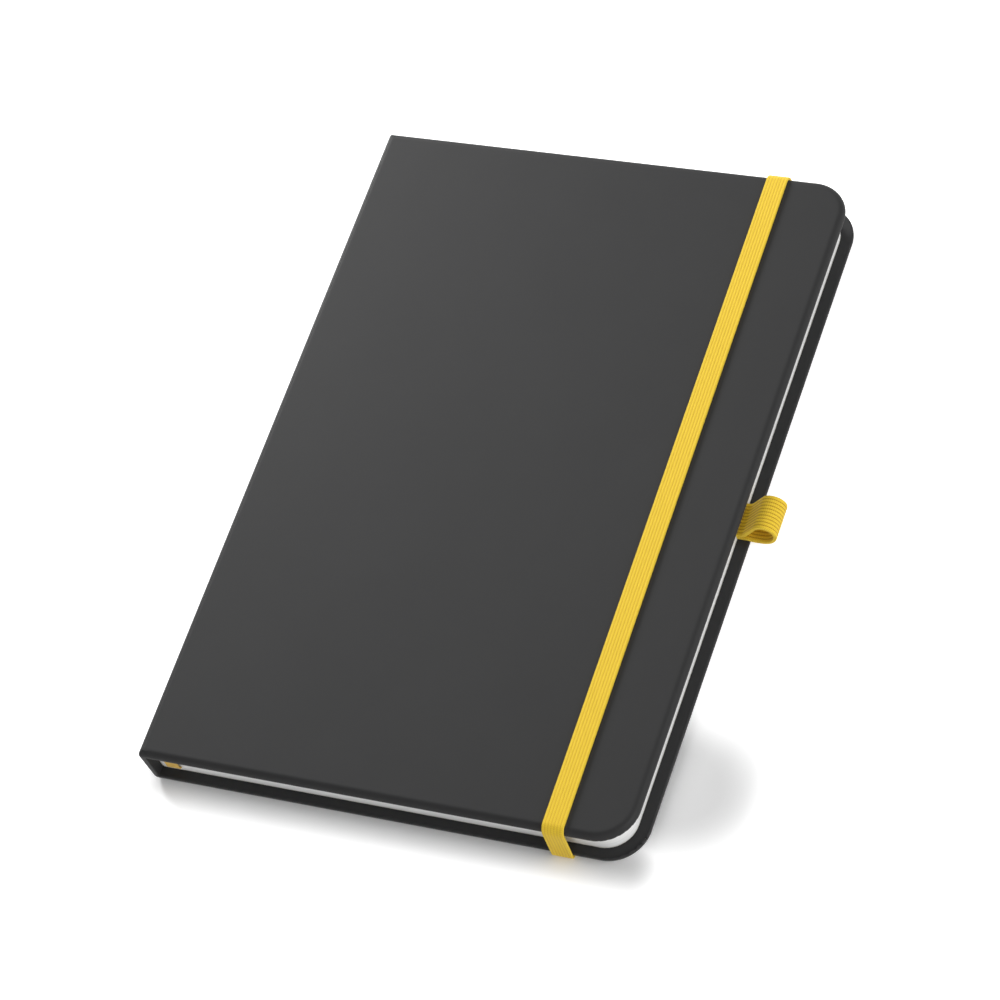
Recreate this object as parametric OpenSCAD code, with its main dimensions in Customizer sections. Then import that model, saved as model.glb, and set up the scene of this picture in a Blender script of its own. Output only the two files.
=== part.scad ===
/* [Cover] */
// Width of the closed cover, from the spine's outer face to the fore-edge
cover_w = 145; // [130:1:160]
// Height of the cover, from tail to head
cover_h = 210; // [190:1:230]
// Thickness of the closed notebook, over both covers
book_t = 15; // [13:0.5:24]
// Thickness of each cover board
board_t = 1.8; // [1.6:0.1:2.4]
// Thickness of the soft skin that covers the boards
skin_t = 0.4; // [0.3:0.05:0.5]
// Radius of the two fore-edge corners, seen from above
cover_r = 11; // [8:0.5:12]
// Radius of the rounding along the cover's outer edges
edge_r = 1.9; // [1:0.1:1.9]
// Radius of the rounding along the cover's inner edges
edge_in_r = 0.6; // [0.2:0.05:0.6]
// Width of the skin that is turned in over the boards' inner faces
turn_in_w = 15; // [13:1:20]

/* [Corner pleats] */
// Pleats gathered at each turned-in corner
pleats = 7; // [4:1:9]
// Depth of the crease between two pleats
pleat_depth = 0.2; // [0.1:0.05:0.25]
// Width of the crease between two pleats
pleat_w = 0.45; // [0.3:0.05:0.6]
// Length of the creases, from the edge inwards
pleat_run = 7.5; // [5:0.5:7.5]

/* [Spine] */
// Thickness of the stiff strip in the spine
strip_t = 1.6; // [1.5:0.1:1.9]
// Gap at the fold between the spine and a cover board
hinge_gap = 0.2; // [0.15:0.05:0.4]
// Thickness of the lining glued to the pages' spine
lining_t = 0.3; // [0.2:0.05:0.35]
// Gap between the turned-in skin of the spine and the lining
hollow_gap = 0.1; // [0.05:0.05:0.3]

/* [Pages] */
// How far the cover stands out past the pages at the fore-edge
fore_margin = 3.5; // [2.5:0.1:5]
// How far the cover stands out past the pages at head and tail
end_margin = 3.1; // [2.5:0.1:5]
// Radius of the pages' two fore-edge corners
page_r = 8.4; // [5:0.2:10]
// Thickness of an endpaper leaf
leaf_t = 0.15; // [0.1:0.05:0.2]
// Free gap between the two leaves of the rear endpaper
leaf_gap = 0.25; // [0.15:0.05:0.3]
// Free gap under the closed front cover
cover_gap = 0.1; // [0.05:0.05:0.2]

/* [Ribbon] */
// Width of the ribbon
ribbon_w = 3.9; // [3:0.1:6]
// Thickness of the ribbon
ribbon_t = 0.25; // [0.15:0.05:0.3]
// Distance from the pages' spine to the ribbon's nearer edge
ribbon_in = 2.3; // [1:0.1:6]
// Height of the ribbon's run between the pages, over the back cover's inner face
ribbon_rise = 6.8; // [6.2:0.1:7]
// Drop of the ribbon at the tail, down to the pages that its lower end is tucked between
ribbon_drop = 5.0; // [2.4:0.1:5.2]
// Length of the ribbon's lower end, tucked in between the pages
ribbon_tuck = 25; // [15:1:40]
// Length of the ribbon's upper end that is caught in the spine glue
ribbon_glued = 12; // [8:1:20]
// Radius of the ribbon's bends at the tail
ribbon_bend = 0.7; // [0.4:0.1:0.9]

/* [Elastic strap] */
// Width of the strap
strap_w = 6.8; // [5:0.1:9]
// Thickness of the strap over its ribs
strap_t = 0.8; // [0.6:0.05:0.9]
// Distance from the fore-edge to the middle of the strap
strap_in = 22; // [19:0.5:40]
// Lengthwise ribs in the weave of the strap
strap_ribs = 7; // [5:1:9]
// Free gap between the strap and the closed covers
strap_gap = 0.15; // [0.1:0.05:0.3]
// Distance from head or tail to the slit where the strap goes through the board
slit_in = 9; // [7:0.5:11]
// Length of the strap's ends glued behind the endpaper
strap_glued = 18; // [14:1:25]

/* [Pen loop] */
// Radius of the hole for the pen
loop_bore_r = 3.2; // [3:0.1:4]
// Thickness of the loop's elastic over its ribs
loop_wall = 1; // [0.8:0.05:1.2]
// Width of the loop's elastic
loop_w = 10.4; // [8:0.2:16]
// Distance from the fore-edge out to the middle of the pen's hole
loop_reach = 4.8; // [4.7:0.1:6]
// Height of the pen's hole over the back cover's inner face
loop_rise = 3.8; // [3.6:0.1:4.4]
// Length of the loop's glued end, under the endpaper
tongue_run = 12; // [8:1:16]
// Ribs in the weave of the loop
loop_ribs = 8; // [6:1:10]

/* [Elastic weave] */
// Height of the ribs in the strap and the loop
rib_h = 0.15; // [0.1:0.05:0.2]
// Share of the rib spacing that the rib itself takes
rib_share = 0.6; // [0.5:0.05:0.7]
// Clearance around the elastics and the ribbon where they pass through other pieces
fit = 0.1; // [0.05:0.05:0.15]

/* [Hidden] */
$fn = 96;
// How far a cutter runs past the face it cuts
over = 1;

charcoal = [0.27, 0.27, 0.28];
board_grey = [0.55, 0.52, 0.48];
paper_white = [0.96, 0.95, 0.92];
yellow = [0.96, 0.78, 0.2];

// Levels, counted up from the back cover's outer face
cover_t = board_t + 2 * skin_t;
inside_low = cover_t;
inside_high = book_t - cover_t;
stack_t = 2 * leaf_t + leaf_gap;
pages_low = inside_low + stack_t;
pages_high = inside_high - 2 * leaf_t - cover_gap;

// Places across the cover, with the middle of the back cover at 0
spine_x = -cover_w / 2;
fore_x = cover_w / 2;
wall_t = skin_t + strip_t;
fold_x = spine_x + wall_t;
lining_x = fold_x + skin_t + hollow_gap;
pages_x = lining_x + lining_t;
pages_w = fore_x - fore_margin - pages_x;
pages_h = cover_h - 2 * end_margin;

// Edge radii of the boards, one skin inside the cover's own
board_r = cover_r - skin_t;
board_edge_r = edge_r - skin_t;
board_in_r = max(edge_in_r - skin_t, 0);
inner_edge_r = min(edge_in_r, cover_t - edge_r);

ribbon_x = pages_x + ribbon_in;
ribbon_z = inside_low + ribbon_rise;
ribbon_low = ribbon_z - ribbon_t / 2 - ribbon_drop;

strap_x = fore_x - strap_in;
slit_y = cover_h / 2 - slit_in;
strap_floor = 0.05;
channel_t = strap_floor + strap_t + fit;

loop_r = loop_bore_r + loop_wall;
loop_x = fore_x + loop_reach;
loop_z = inside_low + loop_rise;
tongue_t = 2 * loop_wall;
throat_x = fore_x - loop_wall;
tongue_x = fore_x - fore_margin - tongue_run;

// Two-dimensional shapes

// What has to come off a square corner to leave it rounded
module corner_cut(r) {
    if (r > 0) {
        difference() {
            translate([-r, -over]) square([r + over, r + over]);
            translate([-r, r]) circle(r);
        }
    }
}

// A rectangle from the origin with a radius for each corner, counted anticlockwise
module soft_rect(size, r) {
    difference() {
        square(size);
        mirror([1, 0]) corner_cut(r[0]);
        translate([size[0], 0]) corner_cut(r[1]);
        translate(size) mirror([0, 1]) corner_cut(r[2]);
        translate([0, size[1]]) mirror([1, 0]) mirror([0, 1]) corner_cut(r[3]);
    }
}

// Outline of a page, with its spine edge at x = 0
module page_outline() {
    translate([0, -pages_h / 2]) soft_rect([pages_w, pages_h], [0, page_r, page_r, 0]);
}

// Covers

// A cover's plate with its fold edge at x = 0 and its outer face at z = 0
module plate(run_x, run_y, t, plan_r, r_out, r_in) {
    flat_x = run_x - plan_r;
    flat_y = run_y - 2 * plan_r;
    translate([0, -flat_y / 2, 0]) cube([flat_x, flat_y, t]);
    translate([flat_x, 0, 0]) rotate([90, 0, 0])
        linear_extrude(flat_y, center = true) soft_rect([plan_r, t], [0, r_out, r_in, 0]);
    for (side = [0, 1]) mirror([0, side, 0]) translate([0, flat_y / 2, 0]) {
        rotate([90, 0, 90]) linear_extrude(flat_x) soft_rect([plan_r, t], [0, r_out, r_in, 0]);
        translate([flat_x, 0, 0]) rotate_extrude(angle = 90) soft_rect([plan_r, t], [0, r_out, r_in, 0]);
    }
}

// The spine's wall with both long edges bent round, outer face at x = 0
module spine_wall(t, run_y, total, end_r) {
    translate([0, -run_y / 2, t]) linear_extrude(total - 2 * t)
        soft_rect([t, run_y], [end_r, 0, 0, end_r]);
    for (top = [0, 1]) translate([t, 0, top * (total - 2 * t) + t]) mirror([0, 0, top])
        rotate([90, 0, 0]) rotate([0, 0, 180]) rotate_extrude(angle = 90)
            translate([0, -run_y / 2]) soft_rect([t, run_y], [0, end_r, end_r, 0]);
}

module cover_plate(from_x) {
    translate([from_x, 0, 0]) plate(fore_x - from_x, cover_h, cover_t, cover_r, edge_r, inner_edge_r);
}

module board_plate(from_x) {
    translate([from_x, 0, skin_t])
        plate(fore_x - skin_t - from_x, cover_h - 2 * skin_t, board_t, board_r, board_edge_r, board_in_r);
}

// The part of a cover's inner face that the turned-in skin leaves bare
module bare_panel(from_x, t) {
    panel_w = fore_x - turn_in_w - from_x;
    panel_h = cover_h - 2 * turn_in_w;
    translate([from_x, -panel_h / 2, cover_t - skin_t]) cube([panel_w, panel_h, t]);
}

// Creases between the pleats of both turned-in corners
module corner_creases() {
    crease = [[-pleat_w / 2, over], [-pleat_w / 2, 0], [0, -pleat_depth], [pleat_w / 2, 0], [pleat_w / 2, over]];
    for (side = [0, 1], i = [1 : pleats]) mirror([0, side, 0])
        translate([fore_x - cover_r, cover_h / 2 - cover_r, cover_t]) rotate([0, 0, 90 * i / (pleats + 1)])
            translate([cover_r - pleat_run, 0, 0]) rotate([90, 0, 90])
                linear_extrude(pleat_run + over) polygon(crease);
}

// Turns a back cover's piece over into its place on the front
module as_front() {
    translate([0, 0, book_t]) mirror([0, 0, 1]) children();
}

module front_board() {
    from_x = fold_x + hinge_gap;
    color(board_grey) as_front() {
        board_plate(from_x);
        bare_panel(from_x, skin_t);
    }
}

module front_skin() {
    from_x = fold_x + hinge_gap;
    color(charcoal) as_front() difference() {
        cover_plate(from_x);
        board_plate(from_x - over);
        bare_panel(from_x - over, skin_t + over);
        corner_creases();
    }
}

module front_pastedown() {
    color(paper_white) translate([pages_x, 0, inside_high - leaf_t])
        linear_extrude(leaf_t) page_outline();
}

// Shallow channels in the back face where the strap runs from each edge to its slit
module strap_channels(grow) {
    from_y = slit_y - strap_t / 2 - fit - grow;
    for (side = [0, 1]) mirror([0, side, 0])
        translate([strap_x - strap_w / 2 - fit - grow, from_y, -over])
            cube([strap_w + 2 * (fit + grow), slit_in * 2, over + channel_t + grow]);
}

// Slits through the board, with the pockets that the strap's glued ends lie in
module strap_slits() {
    wide = strap_w + 2 * fit;
    for (side = [0, 1]) mirror([0, side, 0]) translate([strap_x - wide / 2, 0, 0]) {
        translate([0, slit_y - strap_t / 2 - fit, -over]) cube([wide, strap_t + 2 * fit, cover_t + 2 * over]);
        translate([0, slit_y - strap_glued - fit, cover_t - strap_t])
            cube([wide, strap_glued + fit, strap_t + over]);
    }
}

module back_board() {
    from_x = fold_x + hinge_gap;
    color(board_grey) difference() {
        union() {
            board_plate(from_x);
            bare_panel(from_x, skin_t);
        }
        strap_channels(skin_t);
        strap_slits();
    }
}

module spine_strip() {
    color(board_grey) translate([spine_x + skin_t, 0, skin_t])
        spine_wall(strip_t, cover_h - 2 * skin_t, book_t - 2 * skin_t, board_edge_r);
}

// Skin folded in over the two ends of the spine strip
module spine_turn_ins() {
    high = inside_high - inside_low - hinge_gap;
    ends_r = [edge_r, skin_t, skin_t, edge_r];
    translate([spine_x, 0, inside_low]) linear_extrude(high) difference() {
        translate([0, -cover_h / 2]) soft_rect([wall_t + skin_t, cover_h], ends_r);
        translate([skin_t, skin_t - cover_h / 2])
            soft_rect([strip_t, cover_h - 2 * skin_t], [board_edge_r, 0, 0, board_edge_r]);
        translate([skin_t, turn_in_w - cover_h / 2]) square([wall_t + over, cover_h - 2 * turn_in_w]);
    }
}

module back_and_spine_skin() {
    color(charcoal) difference() {
        union() {
            difference() {
                union() {
                    cover_plate(fold_x);
                    translate([spine_x, 0, 0]) spine_wall(wall_t, cover_h, book_t, edge_r);
                }
                board_plate(fold_x);
                bare_panel(fold_x, skin_t + over);
                translate([spine_x + skin_t, 0, skin_t])
                    spine_wall(strip_t, cover_h - 2 * skin_t, book_t - 2 * skin_t, board_edge_r);
            }
            spine_turn_ins();
            intersection() {
                cover_plate(fold_x);
                strap_channels(skin_t);
            }
        }
        strap_channels(0);
        strap_slits();
        corner_creases();
    }
}

// Pages

// Space that the loop's glued end and the leaves over it take up; a cutter runs past its open faces
module tongue_space(grow, past) {
    translate([tongue_x - grow, -loop_w / 2 - grow, inside_low - past])
        cube([tongue_run + grow + past, loop_w + 2 * grow, tongue_t + grow + past]);
}

// One folded sheet: the leaf glued to the back cover and the leaf at the back of the pages
module rear_endpaper() {
    color(paper_white) difference() {
        union() {
            translate([pages_x, 0, inside_low]) linear_extrude(stack_t) page_outline();
            tongue_space(stack_t, 0);
        }
        translate([pages_x + stack_t, 0, inside_low + leaf_t]) linear_extrude(leaf_gap) difference() {
            translate([0, -cover_h / 2]) square([cover_w, cover_h]);
            translate([tongue_x - pages_x - 2 * stack_t, -loop_w / 2 - stack_t])
                square([cover_w, loop_w + 2 * stack_t]);
        }
        tongue_space(0, over);
    }
}

module front_flyleaf() {
    color(paper_white) translate([pages_x, 0, pages_high]) linear_extrude(leaf_t) page_outline();
}

// The ribbon where it lies between two pages, seen from above
module ribbon_outline(grow) {
    translate([ribbon_x - grow, -cover_h]) square([ribbon_w + 2 * grow, cover_h + pages_h / 2 - over]);
    translate([pages_x - over, pages_h / 2 - over - ribbon_glued - grow])
        square([over + ribbon_in, ribbon_glued + grow]);
}

// The ribbon's lower end where it is tucked in between the pages, seen from above
module ribbon_end_outline(grow) {
    translate([ribbon_x - grow, -cover_h])
        square([ribbon_w + 2 * grow, cover_h - pages_h / 2 + ribbon_tuck + grow]);
}

module page_block() {
    color(paper_white) difference() {
        translate([pages_x, 0, pages_low]) linear_extrude(pages_high - pages_low) page_outline();
        tongue_space(stack_t, over);
        translate([0, 0, ribbon_z - ribbon_t / 2]) linear_extrude(ribbon_t) ribbon_outline(fit);
        translate([0, 0, ribbon_low]) linear_extrude(ribbon_t) ribbon_end_outline(fit);
    }
}

module spine_lining() {
    color(paper_white) translate([lining_x, -pages_h / 2, pages_low])
        cube([lining_t, pages_h, pages_high - pages_low]);
}

// The ribbon's bend at the tail, seen from the side with the pages to the right
module ribbon_bend() {
    low = ribbon_low;
    high = ribbon_z + ribbon_t / 2;
    outer = [ribbon_bend + ribbon_t, 0, 0, ribbon_bend + ribbon_t];
    difference() {
        translate([-ribbon_bend - ribbon_t, low]) soft_rect([ribbon_bend + ribbon_t, high - low], outer);
        translate([-ribbon_bend, low + ribbon_t])
            soft_rect([2 * ribbon_bend, high - low - 2 * ribbon_t], [ribbon_bend, 0, 0, ribbon_bend]);
    }
}

module ribbon_marker() {
    tail_y = -pages_h / 2;
    color(yellow) {
        translate([0, 0, ribbon_z - ribbon_t / 2]) linear_extrude(ribbon_t) intersection() {
            ribbon_outline(0);
            translate([pages_x, tail_y]) square([pages_w, pages_h]);
        }
        translate([ribbon_x, tail_y, 0]) rotate([90, 0, 90]) linear_extrude(ribbon_w) ribbon_bend();
        translate([ribbon_x, tail_y, ribbon_low]) cube([ribbon_w, ribbon_tuck, ribbon_t]);
    }
}

// Elastics

// A band with raised ribs: first child is the section over the ribs, second the one between them
module woven_band(width, ribs) {
    pitch = width / ribs;
    translate([0, 0, -width / 2]) linear_extrude(width) children(1);
    for (i = [0 : ribs - 1])
        translate([0, 0, (i + 0.5) * pitch - width / 2 - rib_share * pitch / 2])
            linear_extrude(rib_share * pitch) children(0);
}

// Side view of the strap round the closed notebook, with its ends through the back board
module strap_side(sunk) {
    inner_y = cover_h / 2 + strap_gap;
    outer_y = inner_y + strap_t - sunk;
    inner_low = strap_floor + strap_t;
    inner_high = book_t + strap_gap;
    low = strap_floor + sunk;
    high = inner_high + strap_t - sunk;
    r_high = edge_r + strap_gap;
    r_low = strap_t / 2;
    difference() {
        translate([-outer_y, low]) soft_rect([2 * outer_y, high - low],
            [r_low + strap_t, r_low + strap_t, r_high + strap_t, r_high + strap_t]);
        translate([-inner_y, inner_low])
            soft_rect([2 * inner_y, inner_high - inner_low], [r_low, r_low, r_high, r_high]);
        translate([-slit_y, -over]) square([2 * slit_y, strap_t + 2 * over]);
    }
    for (side = [0, 1]) mirror([side, 0]) {
        translate([slit_y - strap_t / 2, low]) square([strap_t, cover_t - low]);
        translate([slit_y - strap_glued, cover_t - strap_t + sunk]) square([strap_glued, strap_t - sunk]);
    }
}

module elastic_strap() {
    color(yellow) translate([strap_x, 0, 0]) rotate([90, 0, 90]) woven_band(strap_w, strap_ribs) {
        strap_side(0);
        strap_side(rib_h);
    }
}

// Where a line from point p touches the circle of radius r round c; side is 1 above, -1 below
function touch(p, c, r, side) =
    let (to_c = c - p, away = norm(to_c), turn = atan2(to_c[1], to_c[0]) + side * asin(r / away))
    p + sqrt(away * away - r * r) * [cos(turn), sin(turn)];

// Side view of the pen loop: two glued layers that part and run round the hole
module loop_side(sunk) {
    c = [loop_x, loop_z];
    r = loop_r - sunk;
    above = [throat_x, inside_low + tongue_t - sunk];
    below = [throat_x, inside_low + sunk];
    crotch = [throat_x + loop_wall, inside_low + loop_wall];
    difference() {
        union() {
            translate(c) circle(r);
            polygon([below, touch(below, c, r, -1), c, touch(above, c, r, 1), above]);
            translate([tongue_x, inside_low + sunk])
                square([throat_x - tongue_x, tongue_t - 2 * sunk]);
        }
        translate(c) circle(loop_bore_r);
        polygon([crotch, touch(crotch, c, loop_bore_r, -1), c, touch(crotch, c, loop_bore_r, 1)]);
    }
}

module pen_loop() {
    color(yellow) rotate([90, 0, 0]) woven_band(loop_w, loop_ribs) {
        loop_side(0);
        loop_side(rib_h);
    }
}

front_board();
front_skin();
front_pastedown();
back_board();
spine_strip();
back_and_spine_skin();
rear_endpaper();
front_flyleaf();
page_block();
spine_lining();
ribbon_marker();
elastic_strap();
pen_loop();
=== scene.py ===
import math

import bmesh
import bpy
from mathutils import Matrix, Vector
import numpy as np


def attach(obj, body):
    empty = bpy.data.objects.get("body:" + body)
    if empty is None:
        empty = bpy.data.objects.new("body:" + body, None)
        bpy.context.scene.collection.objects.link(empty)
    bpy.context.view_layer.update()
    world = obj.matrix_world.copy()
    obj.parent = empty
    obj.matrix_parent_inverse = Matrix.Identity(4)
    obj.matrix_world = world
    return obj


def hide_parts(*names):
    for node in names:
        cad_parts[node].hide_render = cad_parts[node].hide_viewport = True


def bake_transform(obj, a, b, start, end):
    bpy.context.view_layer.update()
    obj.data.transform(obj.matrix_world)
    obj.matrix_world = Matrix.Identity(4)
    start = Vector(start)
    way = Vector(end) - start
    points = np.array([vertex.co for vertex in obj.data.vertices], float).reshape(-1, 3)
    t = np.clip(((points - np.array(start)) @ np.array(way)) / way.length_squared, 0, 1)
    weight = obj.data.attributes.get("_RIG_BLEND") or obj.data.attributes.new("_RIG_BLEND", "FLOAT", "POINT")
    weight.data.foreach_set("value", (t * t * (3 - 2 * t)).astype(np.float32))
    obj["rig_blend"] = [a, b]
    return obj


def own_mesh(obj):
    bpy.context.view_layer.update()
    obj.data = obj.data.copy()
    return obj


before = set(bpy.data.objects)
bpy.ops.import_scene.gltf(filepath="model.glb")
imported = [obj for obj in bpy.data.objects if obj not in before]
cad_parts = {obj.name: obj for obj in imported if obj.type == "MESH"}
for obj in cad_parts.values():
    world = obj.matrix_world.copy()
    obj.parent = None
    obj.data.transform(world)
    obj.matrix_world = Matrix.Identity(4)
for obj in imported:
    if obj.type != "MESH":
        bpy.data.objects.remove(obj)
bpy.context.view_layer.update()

# The pieces' sizes are in millimetres and become metres where a mesh is made. The camera, floor and
# lights are in metres.
MM = 0.001
# The farthest that one push may move a corner
REACH = 3.0

COVER_X = 72.5
COVER_Y = 105.0
COVER_T = 2.6
BOOK_T = 15.0
CORNER_R = 11.0
CORNER_STEPS = 42
RIM_R = 1.9
RIM_IN_R = 0.6
BACK_RIM_IN_R = 0.45
SKIN_T = 0.4
FOLD_X = -70.4
WALL_IN_X = -70.1
PAGES_X = (-69.7, 69.0)
PAGES_Y = 101.9
PAGES_Z = (3.15, 12.0)
PAGES_R = 8.4
PLEATS = 7
# The spine's inner wall ends here, and the lip under the fold starts
LIP_Z = 12.2
# The strap's pressed channels in the back cover, and the slits at their inner ends
CHANNEL_X = (46.95, 54.05)
CHANNEL_TOP = 0.95
SLIT_Y = (95.45, 96.55)
# The bare part inside the turned-in skin, which the endpaper covers
WINDOW_X = 57.5
WINDOW_Y = 90
# The endpaper: the upper face of its leaf on the pages, a leaf's thickness, and the room between its leaves
LEAF_Z = 12.15
LEAF_T = 0.15
LEAF_GAP = 0.1


# Modelling helpers

def alone(obj=None):
    """Object mode, with only this piece selected."""
    if bpy.context.object and bpy.context.object.mode != "OBJECT":
        bpy.ops.object.mode_set(mode="OBJECT")
    bpy.ops.object.select_all(action="DESELECT")
    if obj:
        obj.select_set(True)
        bpy.context.view_layer.objects.active = obj


def settle(obj):
    """Puts the piece's place and turn into its mesh."""
    alone(obj)
    bpy.ops.object.transform_apply(location=True, rotation=True, scale=True)
    return obj


def block(name, low, high):
    """A block between two corners."""
    alone()
    middle = [(a + b) / 2 * MM for a, b in zip(low, high)]
    size = [(b - a) * MM for a, b in zip(low, high)]
    bpy.ops.mesh.primitive_cube_add(size=1, location=middle, scale=size)
    obj = bpy.context.object
    obj.name = obj.data.name = name
    return settle(obj)


def pick(obj, kind, test):
    """Edit mode, with the corners, edges or faces selected that pass a test in millimetres."""
    alone(obj)
    bpy.ops.object.mode_set(mode="EDIT")
    bpy.ops.mesh.select_mode(type=kind)
    bpy.ops.mesh.select_all(action="DESELECT")
    net = bmesh.from_edit_mesh(obj.data)
    net.normal_update()
    for item in {"VERT": net.verts, "EDGE": net.edges, "FACE": net.faces}[kind]:
        if kind == "VERT":
            item.select_set(test(item.co / MM))
        elif kind == "EDGE":
            item.select_set(test(item.verts[0].co / MM, item.verts[1].co / MM))
        else:
            item.select_set(test(item.calc_center_median() / MM, item.normal))
    net.select_flush_mode()
    bmesh.update_edit_mesh(obj.data)


def near(a, b, room=0.01):
    return abs(a - b) < room


def bevel(radius, steps, kind="EDGES"):
    bpy.ops.mesh.bevel(offset=radius * MM, segments=steps, profile=0.5, affect=kind, clamp_overlap=False)


def cut(place, way):
    """Cuts the selected faces along a plane."""
    bpy.ops.mesh.bisect(plane_co=[v * MM for v in place], plane_no=way)


def inset(width):
    bpy.ops.mesh.inset(thickness=width * MM, use_even_offset=True)


def extrude(x, y, z):
    bpy.ops.mesh.extrude_region_move(TRANSFORM_OT_translate={"value": (x * MM, y * MM, z * MM)})


def modify(obj, kind, **settings):
    """Adds a modifier and applies it."""
    alone(obj)
    step = obj.modifiers.new(kind.lower(), kind)
    for name, value in settings.items():
        setattr(step, name, value)
    bpy.ops.object.modifier_apply(modifier=step.name)


def push(obj, axis, amount):
    """Moves the surface along an axis by so many millimetres at each point."""
    alone(obj)
    for side in (1, -1):
        group = obj.vertex_groups.new(name="push")
        for corner in obj.data.vertices:
            share = side * amount(corner.co / MM) / REACH
            if share > 0:
                group.add([corner.index], min(share, 1), "REPLACE")
        modify(obj, "DISPLACE", direction=axis, strength=side * REACH * MM, mid_level=0, vertex_group="push")
        obj.vertex_groups.remove(obj.vertex_groups["push"])


def carve(obj, tool):
    """Takes the tool's shape out of a piece."""
    modify(obj, "BOOLEAN", operation="DIFFERENCE", solver="EXACT", object=tool)
    alone(tool)
    bpy.ops.object.delete()


def smooth(obj, angle=35, weighted=True):
    alone(obj)
    bpy.ops.object.shade_smooth_by_angle(angle=math.radians(angle))
    if weighted:
        modify(obj, "WEIGHTED_NORMAL", keep_sharp=True)


def outward(obj):
    """Merges doubles and turns all faces outward."""
    pick(obj, "VERT", lambda p: True)
    bpy.ops.mesh.remove_doubles(threshold=0.0001 * MM)
    bpy.ops.mesh.normals_make_consistent(inside=False)
    alone(obj)


# Bands: a section drawn along runs and turns

def band_end(name, across, at, middle, width, thick, ribs, rib_h):
    """The end face of a band with raised ribs, with its place across the band kept on each corner.

    across is X or Y; at is the place along the first run, middle the place across and the height.
    """
    alone()
    turn = (math.pi / 2, 0, 0) if across == "X" else (math.pi / 2, 0, math.pi / 2)
    place = (middle[0], at, middle[1]) if across == "X" else (at, middle[0], middle[1])
    bpy.ops.mesh.primitive_plane_add(size=1, location=[v * MM for v in place], rotation=turn)
    obj = bpy.context.object
    obj.name = obj.data.name = name
    obj.scale = (width * MM, (thick - 2 * rib_h) * MM, 1)
    settle(obj)
    way = 0 if across == "X" else 1
    pick(obj, "EDGE", lambda a, b: near(a.z, b.z))
    bpy.ops.mesh.subdivide(number_cuts=max(8 * ribs, 8) - 1)
    alone(obj)
    for side in (1, -1) if ribs else ():
        def rib(p, side=side):
            share = (p[way] - middle[0]) / width + 0.5
            if (p.z - middle[1]) * side < 0 or share < 0.01 or share > 0.99:
                return 0
            return side * rib_h * 2 * abs(math.sin(math.pi * ribs * share)) ** 0.7
        push(obj, "Z", rib)
    place_across = obj.data.attributes.new("across", "FLOAT", "POINT")
    obj.data.attributes.new("along", "FLOAT", "POINT")
    for corner in obj.data.vertices:
        place_across.data[corner.index].value = (corner.co[way] / MM - middle[0]) / width + 0.5
    return obj


def mark(obj, length):
    """Keeps the length drawn so far on the selected corners."""
    net = bmesh.from_edit_mesh(obj.data)
    along = net.verts.layers.float["along"]
    for corner in net.verts:
        if corner.select:
            corner[along] = length
    bmesh.update_edit_mesh(obj.data)


def draw_out(obj, across, start, path, heading=0.0):
    """Draws the band along its path: (length, steps) is a run, (radius, degrees, steps) a turn."""
    u, v = start
    length = 0.0
    pick(obj, "FACE", lambda p, n: True)
    for piece in path:
        for step in range(piece[-1]):
            if len(piece) == 2:
                run = piece[0] / piece[1]
                du, dv = run * math.cos(heading), run * math.sin(heading)
                if across == "X":
                    extrude(0, du, dv)
                else:
                    extrude(du, 0, dv)
                u, v = u + du, v + dv
                length += run
            else:
                radius, degrees, steps = piece
                side = 1 if degrees > 0 else -1
                turn = math.radians(degrees) / steps
                cu = u - side * radius * math.sin(heading)
                cv = v + side * radius * math.cos(heading)
                if across == "X":
                    centre, axis, angle = (0, cu * MM, cv * MM), (1, 0, 0), turn
                else:
                    centre, axis, angle = (cu * MM, 0, cv * MM), (0, -1, 0), turn
                bpy.ops.mesh.spin(steps=1, angle=-angle, center=centre, axis=axis)
                heading += turn
                u = cu + side * radius * math.sin(heading)
                v = cv - side * radius * math.cos(heading)
                length += abs(turn) * radius
            mark(obj, length)
    alone(obj)
    outward(obj)
    return u, v, heading


# Covers

def corner_angle(p):
    """The place round a fore-edge corner, 0 to 1, or None elsewhere."""
    x, y = p.x - (COVER_X - CORNER_R), abs(p.y) - (COVER_Y - CORNER_R)
    if x < 0 or y < 0 or x + y < 0.5:
        return None
    return math.atan2(y, x) / (math.pi / 2)


def pleated(p, inner_z, rim_z):
    """Depth of the pleats along the inner rim of a fore-edge corner: each overlaps the next."""
    share = corner_angle(p)
    if share is None or abs(p.z - inner_z) > abs(rim_z - inner_z):
        return 0
    over_rim = 1 - abs(p.z - inner_z) / abs(rim_z - inner_z)
    ends = min(1, share / 0.06, (1 - share) / 0.06)
    saw = (share * PLEATS + 0.15 * math.sin(5 * share + p.y)) % 1
    crease = (0.5 + 0.15 * math.sin(19 * share + p.y)) * max(0, 1 - min(saw, 1 - saw) / 0.2)
    return (0.2 * (saw - 0.4) - crease) * over_rim * ends


def squared(p):
    """How far a spine corner's plan stands out from its quarter circle: nearly square above, round below."""
    x, y = p.x + COVER_X - RIM_R, abs(p.y) - COVER_Y + RIM_R
    if x >= 0 or y <= 0:
        return 0, 0
    power = 2 + 5 * min(1, max(0, (p.z - 1) / 5))
    turn = math.atan2(y, -x)
    share = (math.cos(turn) ** power + math.sin(turn) ** power) ** (-1 / power) - 1
    return x * share, math.copysign(y * share, p.y)


def round_fore_edge(obj):
    pick(obj, "EDGE", lambda a, b: near(a.x, COVER_X) and near(b.x, COVER_X) and near(a.y, b.y))
    bevel(CORNER_R, CORNER_STEPS)


def rim_at(z, open_x):
    """A test for the edges at a height, apart from the straight one at open_x."""
    return lambda a, b: near(a.z, z) and near(b.z, z) and not (near(a.x, open_x) and near(b.x, open_x))


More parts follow.
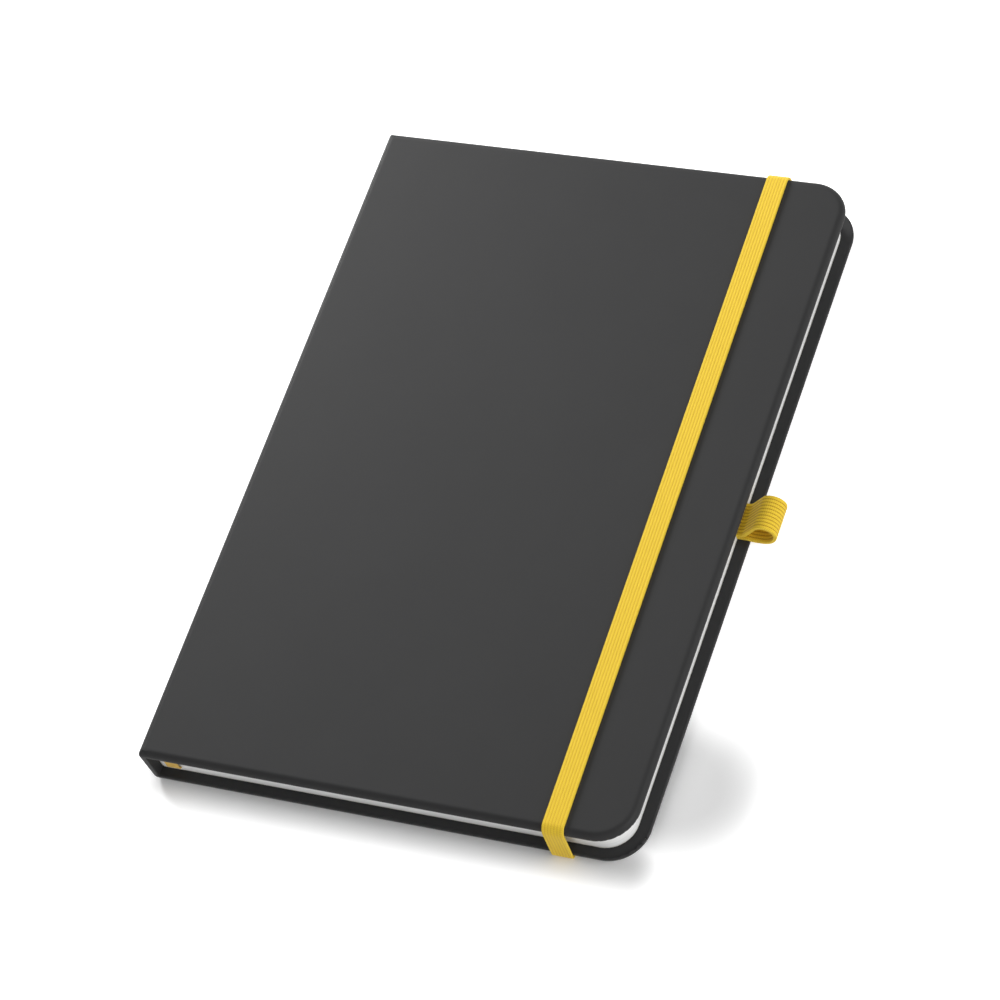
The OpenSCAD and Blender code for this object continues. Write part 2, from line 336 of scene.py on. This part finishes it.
def window(obj, z, up):
    """Opens the bare part of a cover's inner face."""
    pick(obj, "FACE", lambda p, n: near(p.z, z) and n.z * up > 0.9)
    cut((WINDOW_X, 0, 0), (1, 0, 0))
    for side in (1, -1):
        pick(obj, "FACE", lambda p, n: near(p.z, z) and n.z * up > 0.9)
        cut((0, WINDOW_Y * side, 0), (0, 1, 0))
    pick(obj, "FACE", lambda p, n: near(p.z, z) and n.z * up > 0.9 and p.x < WINDOW_X and abs(p.y) < WINDOW_Y)
    bpy.ops.mesh.delete(type="FACE")
    alone(obj)


def front_cover():
    skin = block("front_cover_skin", (FOLD_X, -COVER_Y, BOOK_T - COVER_T), (COVER_X, COVER_Y, BOOK_T))
    round_fore_edge(skin)
    pick(skin, "EDGE", rim_at(BOOK_T, FOLD_X))
    bevel(RIM_R, 8)
    low = BOOK_T - COVER_T
    pick(skin, "EDGE", rim_at(low, FOLD_X))
    bevel(RIM_IN_R, 4)
    pick(skin, "FACE", lambda p, n: near(p.z, BOOK_T) and n.z > 0.9)
    inset(0.5)
    window(skin, low, -1)
    pick(skin, "FACE", lambda p, n: near(p.x, FOLD_X) and n.x < -0.9)
    bpy.ops.mesh.delete(type="FACE")
    alone(skin)
    push(skin, "Z", lambda p: -pleated(p, low, low + RIM_IN_R))
    modify(skin, "SOLIDIFY", thickness=SKIN_T * MM, offset=-1, use_even_offset=True)
    smooth(skin)
    return skin


def back_and_spine():
    skin = block("back_and_spine_cover", (-COVER_X, -COVER_Y, 0), (COVER_X, COVER_Y, COVER_T))
    round_fore_edge(skin)
    pick(skin, "FACE", lambda p, n: True)
    cut((WALL_IN_X, 0, 0), (1, 0, 0))
    pick(skin, "FACE", lambda p, n: n.z > 0.9 and p.x < WALL_IN_X)
    extrude(0, 0, LIP_Z - COVER_T)
    pick(skin, "FACE", lambda p, n: near(p.z, LIP_Z))
    cut((FOLD_X, 0, 0), (1, 0, 0))
    pick(skin, "FACE", lambda p, n: near(p.z, LIP_Z) and p.x < FOLD_X)
    extrude(0, 0, BOOK_T - LIP_Z)
    pick(skin, "FACE", lambda p, n: True)
    bpy.ops.mesh.dissolve_limited(angle_limit=math.radians(0.5))

    def outer(a, b):
        low = near(a.z, 0) and near(b.z, 0)
        upright = near(a.x, -COVER_X) and near(b.x, -COVER_X) and near(a.y, b.y)
        return low or upright or rim_at(BOOK_T, FOLD_X)(a, b)

    pick(skin, "EDGE", outer)
    bevel(RIM_R, 8)

    def inner(a, b):
        wall = near(a.x, WALL_IN_X) and near(b.x, WALL_IN_X) and near(a.y, b.y)
        return rim_at(COVER_T, WALL_IN_X)(a, b) or wall

    pick(skin, "EDGE", inner)
    bevel(BACK_RIM_IN_R, 4)
    for side in (1, -1):
        for name, far, top in (("channel", COVER_Y + 1.5, CHANNEL_TOP), ("slit", SLIT_Y[1], 4)):
            ends = sorted((SLIT_Y[0] * side, far * side))
            carve(skin, block(name, (CHANNEL_X[0], ends[0], -1), (CHANNEL_X[1], ends[1], top)))
    window(skin, COVER_T, 1)
    for side in (1, -1):
        pick(skin, "FACE", lambda p, n: near(p.x, WALL_IN_X) and n.x > 0.9)
        cut((0, WINDOW_Y * side, 0), (0, 1, 0))
    pick(skin, "FACE", lambda p, n: near(p.x, WALL_IN_X) and n.x > 0.9 and abs(p.y) < WINDOW_Y)
    bpy.ops.mesh.delete(type="FACE")
    pick(skin, "FACE", lambda p, n: near(p.x, FOLD_X) and n.x > 0.9)
    bpy.ops.mesh.delete(type="FACE")
    alone(skin)
    push(skin, "Z", lambda p: pleated(p, COVER_T, COVER_T - BACK_RIM_IN_R))
    push(skin, "X", lambda p: squared(p)[0])
    push(skin, "Y", lambda p: squared(p)[1])
    modify(skin, "SOLIDIFY", thickness=SKIN_T * MM, offset=-1, use_even_offset=True)
    smooth(skin)
    return skin


def fold_strip():
    """The skin's fold between spine and front cover, which bends as the cover opens."""
    half_w, end_y = 0.8, COVER_Y - 1.3
    low, high = (FOLD_X - half_w, -end_y, BOOK_T - 0.36), (FOLD_X + half_w, end_y, BOOK_T - 0.03)
    strip = block("cover_fold", low, high)
    bends, bend_w = 15, 0.05
    for i in range(bends):
        pick(strip, "FACE", lambda p, n: True)
        cut((FOLD_X + bend_w * (i - bends // 2), 0, 0), (1, 0, 0))
    alone(strip)
    smooth(strip, weighted=False)
    return strip


# Paper

def page_block():
    pages = block("pages", (PAGES_X[0], -PAGES_Y, PAGES_Z[0]), (PAGES_X[1], PAGES_Y, PAGES_Z[1]))
    pick(pages, "EDGE", lambda a, b: near(a.x, PAGES_X[1]) and near(b.x, PAGES_X[1]) and near(a.y, b.y))
    bevel(PAGES_R, 24)
    layers = 34
    for i in range(1, layers):
        pick(pages, "FACE", lambda p, n: True)
        share = (i + 0.3 * math.sin(7.3 * i)) / layers
        cut((0, 0, PAGES_Z[0] + (PAGES_Z[1] - PAGES_Z[0]) * share), (0, 0, 1))
    alone(pages)

    def uneven(p):
        share = (p.z - PAGES_Z[0]) / (PAGES_Z[1] - PAGES_Z[0])
        if share < 0.005 or share > 0.995 or p.x < PAGES_X[0] + 1:
            return 0
        waves = 0.035 * math.sin(61 * share) * math.sin(23 * share + 1)
        return waves + 0.02 * math.sin(140 * share + 0.02 * p.y)

    push(pages, "NORMAL", uneven)
    carve(pages, block("tongue_room", (56.45, -5.75, 2), (75, 5.75, 5.15)))
    smooth(pages, 50)
    return pages


def front_endpaper():
    """One folded sheet: its leaf on the pages, the fold at the spine and the leaf glued inside the cover."""
    alone()
    bpy.ops.mesh.primitive_plane_add(size=1, location=((PAGES_X[0] + PAGES_X[1]) / 2 * MM, 0, LEAF_Z * MM))
    sheet = bpy.context.object
    sheet.name = sheet.data.name = "front_endpaper_sheet"
    sheet.scale = ((PAGES_X[1] - PAGES_X[0]) * MM, 2 * PAGES_Y * MM, 1)
    settle(sheet)
    pick(sheet, "EDGE", lambda a, b: near(a.x, PAGES_X[0]) and near(b.x, PAGES_X[0]))
    steps = 16
    for i in range(steps):
        extrude(0, 0, LEAF_GAP / steps)
    extrude(PAGES_X[1] - PAGES_X[0], 0, 0)
    pick(sheet, "VERT", lambda p: near(p.x, PAGES_X[1]))
    bevel(PAGES_R, 16, "VERTICES")
    alone(sheet)
    bpy.ops.object.mode_set(mode="EDIT")
    bpy.ops.mesh.select_all(action="SELECT")
    bpy.ops.mesh.normals_make_consistent(inside=False)
    alone(sheet)
    level = (LEAF_Z + 0.001) * MM
    lower = [f for f in sheet.data.polygons if f.center.z < level and abs(f.normal.z) > 0.9][0]
    side = -1 if lower.normal.z > 0 else 1
    modify(sheet, "SOLIDIFY", thickness=LEAF_T * MM, offset=side, use_even_offset=True)
    outward(sheet)
    smooth(sheet, 50, False)
    return sheet


# Elastics and ribbon

def strap():
    band = band_end("closing_strap", "X", at=78, middle=(50.65, 2.2), width=6.1, thick=0.66, ribs=7, rib_h=0.035)
    half = [(17.45, 3), (0.55, -90, 4), (0.65, 1), (0.55, 90, 4), (8.1, 3), (0.8, 90, 6), (11.88, 4)]
    path = half + [(2.3, 90, 10), (206.3, 14), (2.3, 90, 10)] + half[::-1]
    draw_out(band, "X", (78, 2.2), path)

    def drift(p):
        rise = min(1, max(0, (p.z - 1) / 13)) if abs(p.y) > 104 or p.z > 14 else 0
        return (0.15 - 0.0063 * p.y) * rise

    push(band, "X", drift)
    smooth(band, 60, False)
    return band


def loop():
    band = band_end("pen_loop_band", "Y", at=57, middle=(0, 3.08), width=10.4, thick=0.92, ribs=10, rib_h=0.045)
    out = [(14.3, 4), (3, -20, 4), (0.6, 1), (3, 20, 4), (2.07, 2)]
    back = [(4.9, 80, 14), (3.2, 149, 26), (5.86, 6), (2.2, -49, 8), (12.7, 4)]
    draw_out(band, "Y", (57, 3.08), out + back)
    smooth(band, 60, False)
    return band


def ribbon():
    """The ribbon lies between two pages, bends over the tail and is tucked in between two lower ones."""
    band = band_end("ribbon_band", "X", at=101, middle=(-65.45, 9.4), width=3.9, thick=0.25, ribs=0, rib_h=0)
    path = [(202.9, 8), (0.825, 90, 8), (3.35, 3), (0.825, 90, 8), (25, 4)]
    draw_out(band, "X", (101, 9.4), path, math.pi)
    smooth(band, 60, False)
    return band


cover_top = front_cover()
cover_base = back_and_spine()
fold = fold_strip()
pages = page_block()
endpaper = front_endpaper()
strap_band = strap()
loop_band = loop()
ribbon_band = ribbon()


# Finishes

def nodes_of(name):
    finish = bpy.data.materials.new(name)
    finish.use_nodes = True
    tree = finish.node_tree
    return finish, tree, tree.nodes["Principled BSDF"]


def add(tree, kind, inputs=(), **settings):
    """A shader node with its settings; inputs are (socket, value or another node's output)."""
    node = tree.nodes.new(kind)
    for name, value in settings.items():
        setattr(node, name, value)
    for socket, value in inputs:
        if isinstance(value, bpy.types.NodeSocket):
            tree.links.new(value, node.inputs[socket])
        else:
            node.inputs[socket].default_value = value
    return node


def maths(tree, operation, *values):
    return add(tree, "ShaderNodeMath", enumerate(values), operation=operation).outputs[0]


def vectors(tree, operation, *values, result="Vector"):
    return add(tree, "ShaderNodeVectorMath", enumerate(values), operation=operation).outputs[result]


def noise(tree, place, scale, detail, rough):
    inputs = [("Vector", place), ("Scale", scale), ("Detail", detail), ("Roughness", rough)]
    return add(tree, "ShaderNodeTexNoise", inputs).outputs["Fac"]


def grain(tree, scale, stretch=(1, 1, 1), detail=3.0, rough=0.6):
    """Noise on the piece's own place in metres."""
    place = add(tree, "ShaderNodeTexCoord").outputs["Object"]
    spread = add(tree, "ShaderNodeMapping", [("Vector", place), ("Scale", stretch)]).outputs["Vector"]
    return noise(tree, spread, scale, detail, rough)


def shades(tree, value, *stops):
    ramp = add(tree, "ShaderNodeValToRGB", [("Fac", value)])
    while len(ramp.color_ramp.elements) < len(stops):
        ramp.color_ramp.elements.new(0.5)
    for element, (place, colour) in zip(ramp.color_ramp.elements, stops):
        element.position = place
        element.color = (*colour, 1) if len(colour) == 3 else colour
    return ramp.outputs["Color"]


def relief(tree, height, distance, strength=1.0, under=None):
    inputs = [("Height", height), ("Distance", distance), ("Strength", strength)]
    if under:
        inputs.append(("Normal", under))
    return add(tree, "ShaderNodeBump", inputs).outputs["Normal"]


def soft_touch():
    finish, tree, shader = nodes_of("soft_touch_cover")
    dark, light = (0.033, 0.033, 0.0335), (0.035, 0.035, 0.0355)
    tone = shades(tree, grain(tree, 45, detail=5), (0.3, dark), (0.7, light))
    tree.links.new(tone, shader.inputs["Base Color"])
    wear = shades(tree, grain(tree, 120, detail=4), (0.3, (0.49,) * 3), (0.7, (0.51,) * 3))
    tree.links.new(wear, shader.inputs["Roughness"])
    fine = relief(tree, grain(tree, 5200, detail=2), 0.00002, 0.5)
    tree.links.new(relief(tree, grain(tree, 900, detail=3), 0.00004, 0.35, fine), shader.inputs["Normal"])
    shader.inputs["Specular IOR Level"].default_value = 0.15
    shader.inputs["Sheen Weight"].default_value = 0.12
    shader.inputs["Sheen Roughness"].default_value = 0.3
    return finish


def paper(name, light, dark, lines):
    finish, tree, shader = nodes_of(name)
    if lines:
        # Lines across the page edges: painted shade between the sheets, mixed with random tone
        fine_line_shade_and_tone = grain(tree, 1, (25, 25, 9000), 4, 0.7)
        sheet_line_shade_and_tone = grain(tree, 1, (8, 8, 2300), 2, 0.6)
        half = maths(tree, "MULTIPLY", maths(tree, "ADD", fine_line_shade_and_tone, sheet_line_shade_and_tone), 0.5)
        tone = shades(tree, half, (0.36, dark), (0.62, light))
        bump = relief(tree, half, 0.00006, 0.6)
    else:
        tone = shades(tree, grain(tree, 700, detail=5), (0.35, dark), (0.65, light))
        bump = relief(tree, grain(tree, 2500, detail=4), 0.00003, 0.4)
    tree.links.new(tone, shader.inputs["Base Color"])
    tree.links.new(bump, shader.inputs["Normal"])
    shader.inputs["Roughness"].default_value = 0.85
    shader.inputs["Specular IOR Level"].default_value = 0.25
    return finish


def wave(tree, value, turns, phase=0.0):
    """A sine of a length or share, from -1 to 1."""
    return maths(tree, "SINE", maths(tree, "MULTIPLY_ADD", value, turns * 2 * math.pi, phase))


def woven(name, light, dark, ribs, pitch, sheen, valley_shade_depth=1.0):
    """Elastic or ribbon weave: cords along the band, threads across, and painted shade in broken lines between
    the cords.
    """
    finish, tree, shader = nodes_of(name)
    across = add(tree, "ShaderNodeAttribute", attribute_name="across").outputs["Fac"]
    along = add(tree, "ShaderNodeAttribute", attribute_name="along").outputs["Fac"]
    rib = wave(tree, across, ribs, -math.pi / 2)
    thread = wave(tree, maths(tree, "MULTIPLY_ADD", rib, 0.25 * pitch, along), 1 / pitch)
    plain = add(tree, "ShaderNodeCombineXYZ", [("X", across), ("Y", along)]).outputs["Vector"]
    spread = vectors(tree, "MULTIPLY", plain, (1.7 * ribs, 0.9, 0))
    yarn = noise(tree, spread, 1.0, 3.0, 0.7)
    shade_weight_between_cords = maths(tree, "POWER", maths(tree, "MULTIPLY_ADD", rib, -0.5, 0.5), 4.0)
    # No painted shade line runs along the band's two edges
    cord_valley_shade = maths(tree, "MULTIPLY", shade_weight_between_cords, maths(tree, "COMPARE", across, 0.5, 0.485))
    # The shade between the cords is painted into the colour and broken up by the yarn noise
    broken_valley_shade = maths(tree, "MULTIPLY_ADD", yarn, -1.8 * valley_shade_depth, 0.3 * valley_shade_depth)
    level = maths(tree, "MULTIPLY_ADD", yarn, 0.5, 0.3)
    yarn_tone_and_valley_shade = maths(tree, "MULTIPLY_ADD", cord_valley_shade, broken_valley_shade, level)
    mixed = maths(tree, "MULTIPLY_ADD", thread, 0.12, yarn_tone_and_valley_shade)
    # The dark end stands for painted shade between the cords; the yarn noise adds random tone
    tone = shades(tree, mixed, (0.0, dark), (0.6, light))
    tree.links.new(tone, shader.inputs["Base Color"])
    tree.links.new(relief(tree, mixed, 0.00007, 0.5), shader.inputs["Normal"])
    shader.inputs["Roughness"].default_value = 0.75
    shader.inputs["Specular IOR Level"].default_value = 0.25
    shader.inputs["Sheen Weight"].default_value = sheen
    shader.inputs["Sheen Roughness"].default_value = 0.4
    return finish


def board():
    finish, tree, shader = nodes_of("grey_board")
    tone = shades(tree, grain(tree, 900, detail=6), (0.3, (0.22, 0.2, 0.18)), (0.7, (0.34, 0.32, 0.29)))
    tree.links.new(tone, shader.inputs["Base Color"])
    tree.links.new(relief(tree, grain(tree, 1800, detail=4), 0.00006, 0.5), shader.inputs["Normal"])
    shader.inputs["Roughness"].default_value = 0.95
    return finish


def dress(obj, finish):
    obj.data.materials.clear()
    obj.data.materials.append(finish)


soft_skin = soft_touch()
page_edges = paper("page_edges", (0.95, 0.95, 0.945), (0.8, 0.8, 0.795), True)
plain_paper = paper("endpaper", (0.84, 0.83, 0.79), (0.78, 0.77, 0.73), False)
lining = paper("spine_lining_paper", (0.7, 0.68, 0.62), (0.6, 0.58, 0.52), False)
# Both elastics and the ribbon carry painted shade between their cords; the loop's darker low end deepens it
elastic = woven("woven_elastic", (0.93, 0.66, 0.045), (0.62, 0.33, 0.02), 7, 0.5, 0.15, 0.5)
loop_elastic = woven("woven_loop_elastic", (0.93, 0.66, 0.045), (0.46, 0.23, 0.01), 10, 0.5, 0.15, 0.8)
satin = woven("ribbon_satin", (0.75, 0.48, 0.09), (0.6, 0.36, 0.05), 20, 0.2, 0.3)
grey_board = board()

for piece, finish, where, body, nodes in (
    (cover_top, soft_skin, "cover_skin", "front_cover", ["front_skin"]),
    (cover_base, soft_skin, "cover_skin", "book", ["back_and_spine_skin"]),
    (pages, page_edges, "page_edges", "book", ["page_block"]),
    (loop_band, loop_elastic, "elastic", "book", ["pen_loop"]),
    (ribbon_band, satin, "ribbon", "book", ["ribbon_marker"]),
    (strap_band, elastic, "elastic", "book", ["elastic_strap"]),
):
    dress(piece, finish)
    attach(piece, body)
    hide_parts(*nodes)

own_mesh(strap_band)

for piece, finish, where, nodes, low, high in (
    (fold, soft_skin, "cover_skin", [], (FOLD_X - 0.3, 0, 0), (FOLD_X + 0.3, 0, 0)),
    (endpaper, plain_paper, "paper", ["front_pastedown", "front_flyleaf"], (0, 0, 12.15), (0, 0, 12.25)),
):
    dress(piece, finish)
    if nodes:
        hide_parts(*nodes)
    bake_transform(piece, "book", "front_cover", [v * MM for v in low], [v * MM for v in high])

for name, finish in (
    ("front_board", grey_board),
    ("back_board", grey_board),
    ("spine_strip", grey_board),
    ("rear_endpaper", plain_paper),
    ("spine_lining", lining),
):
    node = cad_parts[name]
    if len(node.data.materials) == 0:
        node.data.materials.append(finish)
    for number in range(len(node.material_slots)):
        node.material_slots[number].material = finish


# Camera, floor and light

alone()
bpy.ops.object.camera_add(
    location=(0.44948, -0.50069, 0.92979),
    rotation=[math.radians(v) for v in (32.6423, 15.8541, 19.2040)])
camera = bpy.context.object
camera.name = "camera"
camera.data.lens = 148.04
camera.data.sensor_width = 36
camera.data.clip_start = 0.05
camera.data.clip_end = 50
bpy.context.scene.camera = camera

alone()
bpy.ops.mesh.primitive_plane_add(size=30, location=(0, 0, -0.00002))
floor = bpy.context.object
floor.name = "floor"
finish, tree, shader = nodes_of("white_floor")
shader.inputs["Base Color"].default_value = (0.94, 0.94, 0.94, 1)
shader.inputs["Roughness"].default_value = 1
shader.inputs["Specular IOR Level"].default_value = 0
# To the camera the floor is white, apart from two patches, where the shadow stays:
# one along the tail and one beside the lower fore-edge.
place = add(tree, "ShaderNodeTexCoord").outputs["Object"]


def clear_of(middle, half, size, low, high):
    """0 within low metres of a line or patch round middle, 1 from high metres on."""
    sided = vectors(tree, "ABSOLUTE", vectors(tree, "SUBTRACT", place, middle))
    past = vectors(tree, "SUBTRACT", sided, half)
    beyond = vectors(tree, "MAXIMUM", past, (0, 0, 0))
    away = vectors(tree, "LENGTH", vectors(tree, "MULTIPLY", beyond, size), result="Value")
    inputs = [("Value", away), ("From Min", low), ("From Max", high)]
    return add(tree, "ShaderNodeMapRange", inputs, interpolation_type="SMOOTHSTEP").outputs["Result"]


tail = clear_of((0, -0.105, 0), (0.07, 0, 1), (1, 1, 0), 0.0, 0.0125)
beside = clear_of((0.074, -0.08, 0), (0, 0, 1), (1, 1.25, 0), 0.012, 0.037)
open_floor = maths(tree, "MULTIPLY_ADD", maths(tree, "MINIMUM", tail, beside), 0.7, 0.04)
rays = add(tree, "ShaderNodeLightPath")
glow = maths(tree, "MULTIPLY", open_floor, rays.outputs["Is Camera Ray"])
tree.links.new(glow, shader.inputs["Emission Strength"])
shader.inputs["Emission Color"].default_value = (1, 1, 1, 1)
dress(floor, finish)


def sun(name, toward, strength, spread):
    """A soft sun; toward points from the object to the light."""
    alone()
    turn = Vector(toward).to_track_quat("Z", "Y").to_euler()
    bpy.ops.object.light_add(type="SUN", location=Vector(toward).normalized() * 3, rotation=turn)
    lamp = bpy.context.object
    lamp.name = name
    lamp.data.energy = strength
    lamp.data.angle = math.radians(spread)


sun("side", (0.92, 0.0, 0.42), 1.7, 50)
sun("top", (-0.1, 0.55, 0.83), 0.5, 40)
sun("front", (0.1, -0.9, 0.4), 0.5, 50)

alone()
window_place = Vector((-0.83, 0.69, 0.39))
window_turn = window_place.to_track_quat("Z", "Y").to_euler()
bpy.ops.object.light_add(type="AREA", location=window_place, rotation=window_turn)
window_light = bpy.context.object
window_light.name = "window"
window_light.data.shape = "DISK"
window_light.data.size = 0.42
window_light.data.energy = 14.5

world = bpy.data.worlds.new("studio")
bpy.context.scene.world = world
world.use_nodes = True
tree = world.node_tree
back = tree.nodes["Background"]
rays = add(tree, "ShaderNodeLightPath")
seen = maths(tree, "MAXIMUM", rays.outputs["Is Camera Ray"], rays.outputs["Is Transmission Ray"])
strengths = [("Value", seen), ("To Min", 0.25), ("To Max", 1.0)]
level = add(tree, "ShaderNodeMapRange", strengths).outputs["Result"]
tree.links.new(level, back.inputs["Strength"])
back.inputs["Color"].default_value = (1, 1, 1, 1)

bpy.context.scene.view_settings.view_transform = "Standard"
